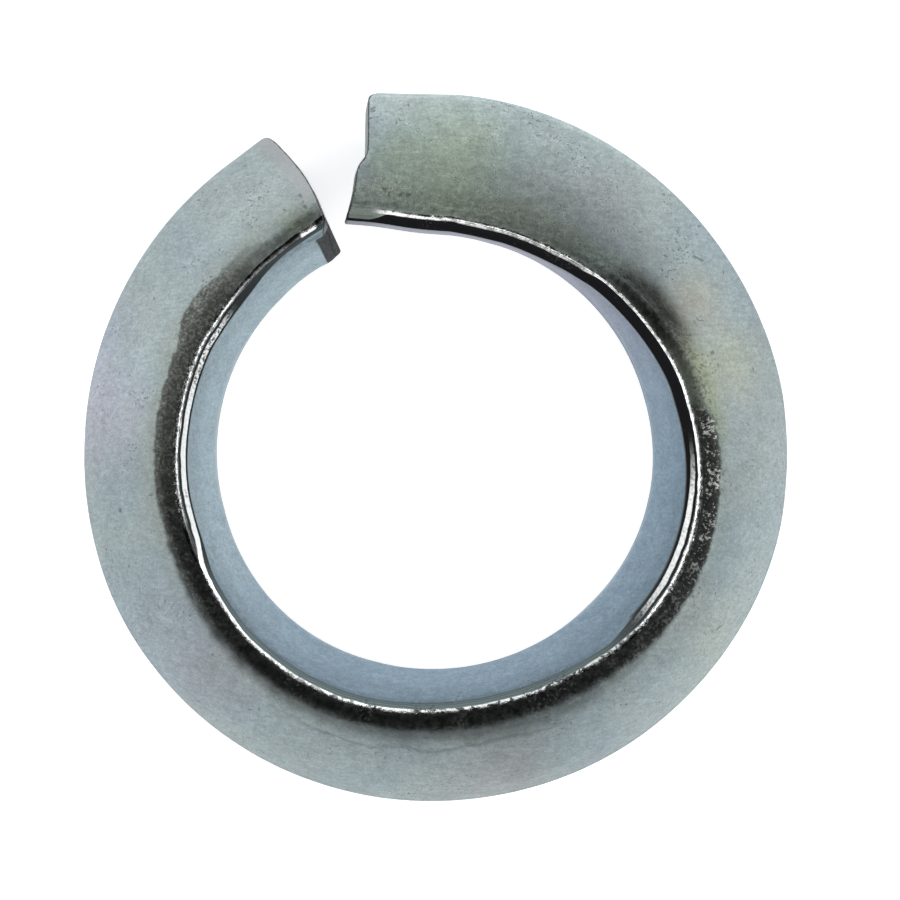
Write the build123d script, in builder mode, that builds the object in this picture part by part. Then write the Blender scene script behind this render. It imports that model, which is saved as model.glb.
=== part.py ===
"""Conical spring washer for an M22 wheel stud: one bar of spring steel, coiled into a ring and dished.

The ring lies crest up. Its axis is Z and the flat under its heel is at height zero. Angles are counted round
Z from X, and the gap is near 110 degrees. The press that dishes the ring grips it best at FORMED_ANGLE. From
there the section opens a little towards the fixed end. Towards the free end it flattens out and springs up.
"""

import os
from math import cos, radians, sin

from build123d import *

# Bore and heel, in millimetres
BORE_RADIUS = 11.25
HEEL_FLAT_DEPTH = 0.35

# Corners of the bar's section as (radius, height), fully formed and as it was coiled
OUTER_CORNER = Vector(18.45, 2.2), Vector(18.27, 3.9)
BORE_CORNER = Vector(10.8, 3.1), Vector(11.2, 1.0)
HEEL_CORNER = Vector(15.3, 0.0), Vector(17.7, 0.0)
OUTER_FLAT = 0.3

# Crown of the outer face, and the round of the crest, which turns from facing out to facing the bore
FACE_CROWN = 0.42, 0.1
CREST_MIDDLE = Vector(14.1, 5.5), Vector(12.31, 4.0)
CREST_ROUND = 1.4, 0.98
CREST_OUTWARD = 38, 10
CREST_INWARD = 56, 86
CREST_FLATS = 7

# The press closes the ring in three segments, which leave it a little three-lobed
LOBE = 0.12
LOBE_ANGLE = 345

# Round the ring, in degrees
FIXED_END_ANGLE = 127
FREE_END_ANGLE = 446
FORMED_ANGLE = 332
FIXED_END_OPENING = 0.37
FIXED_END_FADE = 190
FREE_END_FADE = 95
STATIONS = 54

# Straight leads to the cut ends, and the rise of the free end
FIXED_LEAD = 3.6
FREE_LEAD = 6.0
FREE_END_RISE = 1.2

# Cutters run past the bar on every side
PAST_LEAD = 5
PAST_GAP = -9
PAST_BORE = 10.8
PAST_OUTSIDE = 20
PAST_CREST = 9

# Fixed end's cut, as (in along the lead, out along the radius): bowed, then at a slant to the bore
FIXED_CUT_OUTSIDE = 3.0, 18.3
FIXED_CUT_BOW = 3.27, 15.5
FIXED_CUT_TURN = 2.85, 13.08
FIXED_CUT_INSIDE = 2.34, PAST_BORE
# The flat where its bore corner rolled over as the blade went in
ROLLOVER_POINT = 2.5, 12.0, 4.1
ROLLOVER_FACING = 0.558, -0.786, 0.266
ROLLOVER_WIDTH = 10
ROLLOVER_DEPTH = 2

# Free end's cut, as (x, y) at FREE_CUT_HEIGHT: square outside, broken back at a slant inside
FREE_CUT_HEIGHT = 7
FREE_CUT_OUTSIDE = -3.3, PAST_OUTSIDE
FREE_CUT_STEP = -3.42, 15.07
FREE_BREAK_START = -3.8, 14.48
FREE_BREAK_BOW = -3.95, 13.4
FREE_BREAK_END = -4.4, 11.7
FREE_BREAK_INSIDE = -4.65, PAST_BORE
FREE_CUT_LEAN = -0.05

os.makedirs("parts", exist_ok=True)


def smooth(t):
    """Runs from 0 to 1 as t does, level at both ends."""
    t = min(max(t, 0.0), 1.0)
    return t * t * (3 - 2 * t)


def openness(angle):
    """0 where the section is fully formed, 1 where it is still as coiled."""
    if angle < FORMED_ANGLE:
        return FIXED_END_OPENING * smooth((FORMED_ANGLE - angle) / FIXED_END_FADE)
    return smooth((angle - FORMED_ANGLE) / FREE_END_FADE)


def between(pair, share):
    return pair[0] + (pair[1] - pair[0]) * share


def bar_section(angle):
    """The bar's section on the upright half-plane at this angle."""
    share = openness(angle)
    rise = FREE_END_RISE * smooth((angle - FORMED_ANGLE) / (FREE_END_ANGLE - FORMED_ANGLE))
    lift = Vector(0, rise - HEEL_FLAT_DEPTH)
    shift = lift + Vector(LOBE * cos(radians(3 * (angle - LOBE_ANGLE))), 0)
    outer = between(OUTER_CORNER, share) + shift
    bore = between(BORE_CORNER, share) + lift
    heel = between(HEEL_CORNER, share) + shift
    # Narrow flats follow the round of the crest
    outward = between(CREST_OUTWARD, share)
    turn = (outward + between(CREST_INWARD, share)) / CREST_FLATS
    crest = []
    for i in range(CREST_FLATS + 1):
        facing = radians(outward - turn * i)
        reach = between(CREST_ROUND, share) * Vector(sin(facing), cos(facing))
        crest.append(between(CREST_MIDDLE, share) + shift + reach)
    with BuildSketch(Plane.XZ.rotated((0, 0, angle))) as section:
        with BuildLine():
            SagittaArc(outer, crest[0], -between(FACE_CROWN, share))
            Polyline(*crest, bore, heel, outer)
        make_face()
        chamfer(section.vertices().sort_by_distance(outer)[0], OUTER_FLAT)
    return section.sketch


# The straight run to each end is sheared before it joins the ring: the two ends would meet otherwise
with BuildPart() as fixed_end:
    extrude(bar_section(FIXED_END_ANGLE), FIXED_LEAD)
    # Seen from above, x runs in along the lead and y out along the radius
    lead = Plane.XY.rotated((0, 0, FIXED_END_ANGLE - 90))
    with BuildSketch(lead):
        with BuildLine():
            ThreePointArc(FIXED_CUT_OUTSIDE, FIXED_CUT_BOW, FIXED_CUT_TURN)
            Polyline(
                FIXED_CUT_TURN,
                FIXED_CUT_INSIDE,
                (PAST_LEAD, PAST_BORE),
                (PAST_LEAD, PAST_OUTSIDE),
                (FIXED_CUT_OUTSIDE[0], PAST_OUTSIDE),
                FIXED_CUT_OUTSIDE,
            )
        make_face()
    extrude(amount=PAST_CREST, both=True, mode=Mode.SUBTRACT)
    rollover = Plane(
        origin=lead.from_local_coords(ROLLOVER_POINT),
        z_dir=lead.from_local_coords(ROLLOVER_FACING),
    )
    with BuildSketch(rollover):
        Rectangle(ROLLOVER_WIDTH, ROLLOVER_WIDTH)
    extrude(amount=ROLLOVER_DEPTH, mode=Mode.SUBTRACT)

with BuildPart() as free_end:
    extrude(bar_section(FREE_END_ANGLE), -FREE_LEAD)
    with BuildSketch(Plane.XY.offset(FREE_CUT_HEIGHT)):
        with BuildLine():
            Polyline(FREE_CUT_OUTSIDE, FREE_CUT_STEP, FREE_BREAK_START)
            ThreePointArc(FREE_BREAK_START, FREE_BREAK_BOW, FREE_BREAK_END)
            Polyline(
                FREE_BREAK_END,
                FREE_BREAK_INSIDE,
                (PAST_GAP, PAST_BORE),
                (PAST_GAP, PAST_OUTSIDE),
                FREE_CUT_OUTSIDE,
            )
        make_face()
    extrude(amount=PAST_CREST, dir=(FREE_CUT_LEAN, 0, -1), mode=Mode.SUBTRACT)

with BuildPart() as washer:
    sweep_angle = FREE_END_ANGLE - FIXED_END_ANGLE
    loft([bar_section(FIXED_END_ANGLE + sweep_angle * i / STATIONS) for i in range(STATIONS + 1)])
    add(fixed_end.part)
    add(free_end.part)
    # Reamed bore
    with BuildSketch():
        Circle(BORE_RADIUS)
    extrude(amount=PAST_CREST, mode=Mode.SUBTRACT)
    # Flat heel
    with BuildSketch():
        Circle(PAST_OUTSIDE)
    extrude(amount=-PAST_CREST, mode=Mode.SUBTRACT)

washer.part.label = "washer"
export_step(washer.part, "parts/washer.step")
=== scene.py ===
import math

import bpy
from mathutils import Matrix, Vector


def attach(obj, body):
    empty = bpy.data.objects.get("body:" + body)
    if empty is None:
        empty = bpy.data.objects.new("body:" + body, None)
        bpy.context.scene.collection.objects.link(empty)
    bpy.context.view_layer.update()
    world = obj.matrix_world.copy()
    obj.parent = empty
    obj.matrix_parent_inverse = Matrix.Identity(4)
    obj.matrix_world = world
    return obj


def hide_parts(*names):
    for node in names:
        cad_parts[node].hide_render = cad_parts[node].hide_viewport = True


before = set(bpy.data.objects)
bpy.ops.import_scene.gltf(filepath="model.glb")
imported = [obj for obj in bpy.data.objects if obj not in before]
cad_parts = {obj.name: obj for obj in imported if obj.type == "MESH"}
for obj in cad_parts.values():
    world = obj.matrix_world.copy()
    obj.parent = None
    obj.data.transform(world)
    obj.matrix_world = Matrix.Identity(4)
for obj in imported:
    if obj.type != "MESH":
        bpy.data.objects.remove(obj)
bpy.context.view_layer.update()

MM = 0.001

# ---------------------------------------------------------------- sizes, in millimetres and degrees

BORE_RADIUS = 11.25
HEEL_FLAT_DEPTH = 0.35

# Corners of the bar's section as (radius, height): fully formed, and as it was coiled
OUTER_CORNER = (18.40, 2.2), (18.22, 3.9)
BORE_CORNER = (10.8, 3.1), (11.2, 1.0)
HEEL_CORNER = (15.3, 0.0), (17.7, 0.0)
OUTER_ROUND = 0.34
BORE_ROUND = 0.1
HEEL_ROUND = 0.3

# Crown of the outer face, and the round of the crest, which turns from facing out to facing the bore
FACE_CROWN = 0.42, 0.1
CREST_MIDDLE = (14.1, 5.5), (12.31, 4.0)
CREST_ROUND = 1.4, 0.98
CREST_OUTWARD = 38, 10
CREST_INWARD = 56, 86

# The press closes the ring in three segments, which leave it a little three-lobed
LOBE = 0.12
LOBE_ANGLE = 345
LOBES = 3.0

FIXED_END_ANGLE = 127
FREE_END_ANGLE = 446
FORMED_ANGLE = 332
FIXED_END_OPENING = 0.37
FIXED_END_FADE = 190
FREE_END_FADE = 95
FREE_END_RISE = 1.2

# Curves drawn against the angle round the ring: how far the crest and the outer edge stray from their circles (mm),
# and how much rolled lip the crest's inner side has
ROUND_THE_RING = FIXED_END_ANGLE, FREE_END_ANGLE
CREST_STRAY = (
    (127, -0.15), (140, -0.1), (150, 0.0), (160, 0.1), (180, 0.1), (200, -0.03), (212, -0.08), (225, 0.0), (245, 0.0),
    (260, -0.1), (280, -0.22), (292, -0.18), (305, -0.08), (317, 0.08), (330, 0.15), (345, 0.12), (360, 0.15),
    (370, 0.2), (380, 0.3), (400, 0.3), (410, 0.2), (420, 0.05), (432, -0.08), (440, -0.15), (446, -0.12),
)
OUTER_STRAY = (
    (127, 0.07), (160, 0.06), (172, 0.03), (180, 0.0), (192, 0.0), (205, 0.03), (220, -0.02), (245, -0.06),
    (262, -0.03), (275, 0.0), (300, 0.07), (320, 0.04), (345, 0.08), (356, 0.03), (362, 0.03), (372, 0.08),
    (390, 0.05), (420, 0.05), (440, 0.08), (446, 0.08),
)
STRAY_LIMITS = 0.5, -0.5
LIPPED = (
    (127, 0), (134, 0.3), (141, 1), (196, 1), (212, 0), (308, 0), (324, 1), (345, 1), (366, 0), (400, 0), (414, 0.9),
    (436, 0.9), (446, 0.3),
)
# The lip itself, a fine groove and a bead beyond it, as (degrees turned inward, height in mm)
LIP = (
    (10, 0), (25, 0), (29, -0.006), (31, -0.014), (33, -0.006), (37, 0.007), (41, 0.026), (45, 0.051), (47.5, 0.064),
    (50, 0.052), (53, 0.02), (56, 0), (60, 0),
)
LIP_SPAN = 10, 60
LIP_LIMITS = 0.08, -0.02

# Radii over which the outer edge begins, and the bore's side
OUTER_EDGE = 16.0, 18.0
BORE_SIDE = 13.5, 11.8
# Shares of the free end's lead over which its bore side draws in
FREE_BORE_DRAW = 0.2, 0.85

# Profiles of the two cuts, as (radius, how far along the lead)
FIXED_CUT = (
    (10.6, 2.30), (13.08, 2.85), (14.4, 3.16), (15.6, 3.27), (17.0, 3.2), (17.9, 3.07), (18.15, 2.97), (18.3, 2.8),
    (18.45, 2.5), (19.0, 2.2),
)
FREE_CUT = (
    (10.6, 5.30), (11.53, 5.22), (12.3, 5.06), (13.18, 4.92), (14.1, 4.84), (14.3, 4.76), (14.8, 4.47), (15.05, 4.40),
    (17.68, 4.51), (17.86, 4.47), (17.99, 4.36), (18.1, 4.15), (19.0, 3.8),
)
CUT_SPAN = 10.0, 19.5
CUT_DEPTH = 6.0
FREE_CUT_LEVEL = 6.0
# The flat where the fixed end's bore corner rolled over, as (along the lead, out, up), and how softly it joins the cut
ROLLOVER_POINT = 2.5, 12.0, 4.1
ROLLOVER_FACING = 0.558, -0.786, 0.266
ROLLOVER_BLEND = 0.1

# The blade's dent there: the share of the lead where it starts at two radii, how fast it deepens, and its push
DENT_START = 11.8, 12.9, 0.8, 0.4
DENT_WIDTH = 0.22
DENT_PUSH = 11.0, 12.4, 0.5, 1.0
DENT_OUT = 0.88
DENT_DOWN = 0.3, 2.0, 0.0, 0.47

# The mesh: rows run along the bar, columns round its section
ARC_ROWS = 640
LEAD_ROWS = 14
CAP_ROWS = 24
CAP_ROUND_SHARE = 0.25
CREST_POINTS = 10, 34
CREST_FINE_FROM = 10
OUTER_POINTS = 7
FACE_POINTS = 24
WALL_POINTS = 12
BORE_POINTS = 3
UNDER_POINTS = 12
HEEL_POINTS = 5
FLANK_POINTS = 10
WELD_DISTANCE = 0.0005

# A place on the section counts these zones, with its share of the way through its own, and each pair is a place
# where something fades in and where it is all there, or the other way round
ZONES = "edge", "face", "crest", "wall", "under"
STRAY_ZONE = (1.2, 2.0), (4.0, 3.0)
LIP_ZONE = 3.01, 2.99
DENT_ZONE = (2.88, 3.06), (4.6, 4.0)
CREST_ZONE = (1.75, 2.1), (3.1, 2.95)
WALL_ZONE = (2.85, 3.1), (4.0, 3.95)

# Unevenness: the noise's scale for each mm, its detail, its step from the seed, and the level that is left flush
PRESSED = 0.22, 3.0, 0.0, 0.85
HAMMERED = 1.7, 3.0, 3.0, 0.75
TORN = 2.2, 4.0, 5.0, 0.5
# It fades out towards the plane that the washer rests on
ABOVE_REST = 0.02, 0.4


# ---------------------------------------------------------------- the section the bar is swept from

def rounded(corner, before, after, radius, points):
    """Points of the arc that eases a corner between its two neighbours."""
    corner, before, after = Vector(corner), Vector(before), Vector(after)
    in_way = (before - corner).normalized()
    out_way = (after - corner).normalized()
    half = math.acos(max(-1.0, min(1.0, in_way.dot(out_way)))) / 2
    reach = radius / math.tan(half)
    middle = corner + (in_way + out_way).normalized() * (radius / math.sin(half))
    start = corner + in_way * reach - middle
    end = corner + out_way * reach - middle
    swing = math.atan2(start.x * end.y - start.y * end.x, start.dot(end))
    arc = []
    for step in range(points):
        turn = swing * step / (points - 1)
        arc.append(middle + Vector((
            start.x * math.cos(turn) - start.y * math.sin(turn),
            start.x * math.sin(turn) + start.y * math.cos(turn),
        )))
    return arc


def straight(start, end, points):
    """Points between two others, without them."""
    return [start.lerp(end, (step + 1) / (points + 1)) for step in range(points)]


def crowned(start, end, rise, points):
    """Points of a bowed line between two others, without them."""
    out = Vector((end.y - start.y, start.x - end.x)).normalized()
    if out.y < 0:
        out = -out
    bowed = []
    for step, point in enumerate(straight(start, end, points)):
        t = (step + 1) / (points + 1)
        bowed.append(point + out * rise * 4 * t * (1 - t))
    return bowed


def crest_turns(way):
    """The turns inward, in degrees, of the crest's points: close together where the light catches it."""
    first, fine, last = -CREST_OUTWARD[way], CREST_FINE_FROM, CREST_INWARD[way]
    coarse_points, fine_points = CREST_POINTS
    turns = [first + (fine - first) * i / coarse_points for i in range(coarse_points)]
    return turns + [fine + (last - fine) * i / (fine_points - 1) for i in range(fine_points)]


def section_outline(way):
    """The closed outline of the bar, formed (way 0) or as coiled (way 1), with the zone of each point."""
    outer, bore, heel = OUTER_CORNER[way], BORE_CORNER[way], HEEL_CORNER[way]
    crest_arc = []
    for turned in crest_turns(way):
        facing = math.radians(turned)
        reach = Vector((-math.sin(facing), math.cos(facing))) * CREST_ROUND[way]
        crest_arc.append(Vector(CREST_MIDDLE[way]) + reach)
    outer_arc = rounded(outer, heel, crest_arc[0], OUTER_ROUND, OUTER_POINTS)
    bore_arc = rounded(bore, crest_arc[-1], heel, BORE_ROUND, BORE_POINTS)
    heel_arc = rounded(heel, bore, outer, HEEL_ROUND, HEEL_POINTS)
    parts = (
        ("edge", outer_arc),
        ("face", crowned(outer_arc[-1], crest_arc[0], FACE_CROWN[way], FACE_POINTS)),
        ("crest", crest_arc),
        ("wall", straight(crest_arc[-1], bore_arc[0], WALL_POINTS)),
        ("wall", bore_arc),
        ("under", straight(bore_arc[-1], heel_arc[0], UNDER_POINTS)),
        ("under", heel_arc),
        ("under", straight(heel_arc[-1], outer_arc[0], FLANK_POINTS)),
    )
    return [(point, zone) for zone, points in parts for point in points]


def section_ring():
    """A ring of points that carries both outlines, for the tree to sweep."""
    outlines = section_outline(0), section_outline(1)
    formed = outlines[0]
    count = len(formed)
    ring = bpy.data.meshes.new("bar_section")
    ring.from_pydata(
        [(point.x, point.y, 0) for point, zone in formed],
        [(i, (i + 1) % count) for i in range(count)],
        [],
    )
    zones = [zone for point, zone in formed]
    for way, name in enumerate(("formed", "coiled")):
        # The third part of each vector is how many degrees the surface there has turned inward
        on_face = [-CREST_OUTWARD[way]]
        turns = {"edge": on_face, "face": on_face, "crest": crest_turns(way)}
        layer = ring.attributes.new(name, "FLOAT_VECTOR", "POINT")
        for i, (point, zone) in enumerate(outlines[way]):
            known = turns.get(zone, [CREST_INWARD[way]])
            turn = known[min(i - zones.index(zone), len(known) - 1)]
            layer.data[i].vector = point.x, point.y, turn
    place = ring.attributes.new("place", "FLOAT", "POINT")
    for i, zone in enumerate(zones):
        place.data[i].value = ZONES.index(zone) + (i - zones.index(zone)) / zones.count(zone)
    return ring


def end_middle(angle, share):
    """The middle of the bar's section at a cut end, as (radius, height, 0)."""
    rise = FREE_END_RISE if angle == FREE_END_ANGLE else 0
    corners = OUTER_CORNER, CREST_MIDDLE, BORE_CORNER, HEEL_CORNER
    middle = sum((Vector(pair[0]).lerp(Vector(pair[1]), share) for pair in corners), Vector((0, 0))) / len(corners)
    return middle.x, middle.y + rise - HEEL_FLAT_DEPTH, 0.0


# ---------------------------------------------------------------- node trees

class Nodes:
    """Makes and links the nodes of a tree."""

    def __init__(self, tree):
        self.nodes = tree.nodes
        self.links = tree.links

    def node(self, kind, **settings):
        made = self.nodes.new(kind)
        for name, value in settings.items():
            setattr(made, name, value)
        return made

    def feed(self, socket, value):
        """Links the socket to another, or sets it to a plain value."""
        if isinstance(value, bpy.types.NodeSocket):
            self.links.new(value, socket)
        else:
            socket.default_value = value

    def fed(self, made, *values):
        """Feeds a node's first inputs and returns the node."""
        for socket, value in zip(made.inputs, values):
            self.feed(socket, value)
        return made

    def math(self, operation, *values):
        return self.fed(self.node("ShaderNodeMath", operation=operation), *values).outputs[0]

    def times(self, first, *others):
        for other in others:
            first = self.math("MULTIPLY", first, other)
        return first

    def plus(self, first, second):
        return self.math("ADD", first, second)

    def minus(self, first, second):
        return self.math("SUBTRACT", first, second)

    def rest(self, share):
        """What a share leaves of the whole."""
        return self.math("SUBTRACT", 1.0, share)

    def line(self, value, slope, start):
        """The value times the slope, plus the start."""
        return self.math("MULTIPLY_ADD", value, slope, start)

    def larger(self, first, second):
        return self.math("MAXIMUM", first, second)

    def stirred(self, value, noise, amount):
        """A value that noise moves up and down by up to about half the amount."""
        return self.line(self.minus(noise, 0.5), amount, value)

    def ramp(self, value, start, end, low=0.0, high=1.0, smooth=True):
        made = self.node("ShaderNodeMapRange", interpolation_type="SMOOTHSTEP" if smooth else "LINEAR")
        return self.fed(made, value, start, end, low, high).outputs[0]

    def between(self, value, ramp_in, ramp_out, smooth_out=True):
        """A share that comes in over one ramp and goes out over another."""
        return self.times(self.ramp(value, *ramp_in), self.ramp(value, *ramp_out, smooth=smooth_out))

    def vector(self, operation, *values):
        made = self.fed(self.node("ShaderNodeVectorMath", operation=operation), *values)
        return made.outputs["Value" if operation in ("LENGTH", "DISTANCE") else "Vector"]

    def scaled(self, vector, factor):
        made = self.fed(self.node("ShaderNodeVectorMath", operation="SCALE"), vector)
        self.feed(made.inputs["Scale"], factor)
        return made.outputs["Vector"]

    def curve(self, value, points, span, high, low=0.0):
        """Reads a drawn profile: its points lie in span, and between low and high."""
        made = self.node("ShaderNodeFloatCurve")
        drawn = made.mapping.curves[0]
        placed = [((x - span[0]) / (span[1] - span[0]), (y - low) / (high - low)) for x, y in points]
        drawn.points[0].location = placed[0]
        drawn.points[1].location = placed[-1]
        for point in placed[1:-1]:
            drawn.points.new(*point)
        for point in drawn.points:
            point.handle_type = "AUTO_CLAMPED"
        made.mapping.update()
        self.feed(made.inputs["Value"], self.ramp(value, *span, smooth=False))
        return self.line(made.outputs[0], high - low, low)


class Tree(Nodes):
    """A tree of geometry nodes with named inputs."""

    def __init__(self, name):
        self.group = bpy.data.node_groups.new(name, "GeometryNodeTree")
        super().__init__(self.group)
        self.group.interface.new_socket("Section", in_out="INPUT", socket_type="NodeSocketGeometry")
        self.group.interface.new_socket("Washer", in_out="OUTPUT", socket_type="NodeSocketGeometry")
        self.sizes = {}
        self.source = self.node("NodeGroupInput")
        self.end = self.node("NodeGroupOutput")

    def size(self, name, value):
        """A named input, which the modifier sets."""
        kind = "NodeSocketVector" if isinstance(value, tuple) else "NodeSocketFloat"
        socket = self.group.interface.new_socket(name, in_out="INPUT", socket_type=kind)
        self.sizes[socket.identifier] = value if isinstance(value, tuple) else float(value)
        return self.source.outputs[name]

    def join(self, x, y, z=0.0):
        return self.fed(self.node("ShaderNodeCombineXYZ"), x, y, z).outputs[0]

    def split(self, vector):
        return self.fed(self.node("ShaderNodeSeparateXYZ"), vector).outputs

    def pick(self, test, no, yes, kind="FLOAT"):
        return self.fed(self.node("GeometryNodeSwitch", input_type=kind), test, no, yes).outputs[0]

    def noise(self, position, scale, detail, seed):
        made = self.node("ShaderNodeTexNoise", noise_dimensions="4D")
        for name, value in (("Vector", position), ("W", seed), ("Scale", scale), ("Detail", detail)):
            self.feed(made.inputs[name], value)
        return made.outputs[0]

    def stored(self, name, kind="FLOAT"):
        """A mark on the geometry that is being worked on."""
        layer = self.node("GeometryNodeInputNamedAttribute", data_type=kind)
        layer.inputs["Name"].default_value = name
        return layer.outputs[0]

    def sampled(self, name, index, kind="FLOAT"):
        """A mark on the section's ring, at one of its points."""
        reader = self.node("GeometryNodeSampleIndex", data_type=kind, domain="POINT")
        self.feed(reader.inputs["Geometry"], self.source.outputs["Section"])
        self.feed(reader.inputs["Value"], self.stored(name, kind))
        self.feed(reader.inputs["Index"], index)
        return reader.outputs[0]

    def keep(self, geometry, name, value):
        """Marks the geometry with a value at each point."""
        made = self.node("GeometryNodeStoreNamedAttribute", data_type="FLOAT", domain="POINT")
        self.feed(made.inputs["Geometry"], geometry)
        made.inputs["Name"].default_value = name
        self.feed(made.inputs["Value"], value)
        return made.outputs[0]


# ---------------------------------------------------------------- the tree that coils, dishes and shears the bar

def bar_sheet(tree, columns):
    """One sheet of points: rows along the bar, columns round it, the last column on the first."""
    rows = ARC_ROWS + 2 * (LEAD_ROWS + CAP_ROWS)
    sheet = tree.node("GeometryNodeMeshGrid")
    tree.feed(sheet.inputs["Vertices X"], rows)
    tree.feed(sheet.inputs["Vertices Y"], columns + 1)
    index = tree.node("GeometryNodeInputIndex").outputs[0]
    row = tree.math("FLOOR", tree.math("DIVIDE", tree.plus(index, 0.5), float(columns + 1)))
    column = tree.minus(index, tree.times(row, float(columns + 1)))
    column = tree.math("FLOORED_MODULO", tree.math("ROUND", column), float(columns))
    return sheet.outputs["Mesh"], rows, row, column


def dented(tree, radius, height, place, fixed_share):
    """Pushes the bore side of the fixed end in, where the blade dented it as it went in."""
    depth = tree.size("Dent depth", 0.32)
    start = tree.ramp(radius, *DENT_START)
    dent = tree.ramp(fixed_share, start, tree.plus(start, DENT_WIDTH))
    dent = tree.times(dent, tree.between(place, *DENT_ZONE))
    push = tree.times(dent, depth, tree.ramp(radius, *DENT_PUSH))
    radius = tree.line(push, DENT_OUT, radius)
    height = tree.minus(height, tree.times(push, tree.ramp(height, *DENT_DOWN)))
    return radius, height, dent


def uneven_surface(tree, geometry):
    """Moves the surface along its normals: it is uneven from the press, coarser on the crest and torn at the cuts."""
    seed = tree.size("Seed", 7)
    here = tree.node("GeometryNodeInputPosition").outputs[0]
    normal = tree.node("GeometryNodeInputNormal").outputs[0]

    def bumps(name, amount, kind, where=None):
        scale, detail, step, flush = kind
        rough = tree.minus(tree.noise(here, scale, detail, tree.plus(seed, step)), flush)
        rough = tree.times(rough, tree.size(name, amount))
        return tree.times(rough, tree.stored(where)) if where else rough

    rough = bumps("Unevenness", 0.035, PRESSED)
    rough = tree.plus(rough, bumps("Crest roughness", 0.012, HAMMERED, "crest"))
    rough = tree.plus(rough, bumps("Cut roughness", 0.03, TORN, "sheared"))
    rough = tree.times(rough, tree.rest(tree.stored("wall")))
    rough = tree.times(rough, tree.ramp(tree.split(here)[2], *ABOVE_REST))
    worn = tree.node("GeometryNodeSetPosition")
    tree.feed(worn.inputs["Geometry"], geometry)
    tree.feed(worn.inputs["Offset"], tree.scaled(normal, rough))
    return worn.outputs[0]


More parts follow.
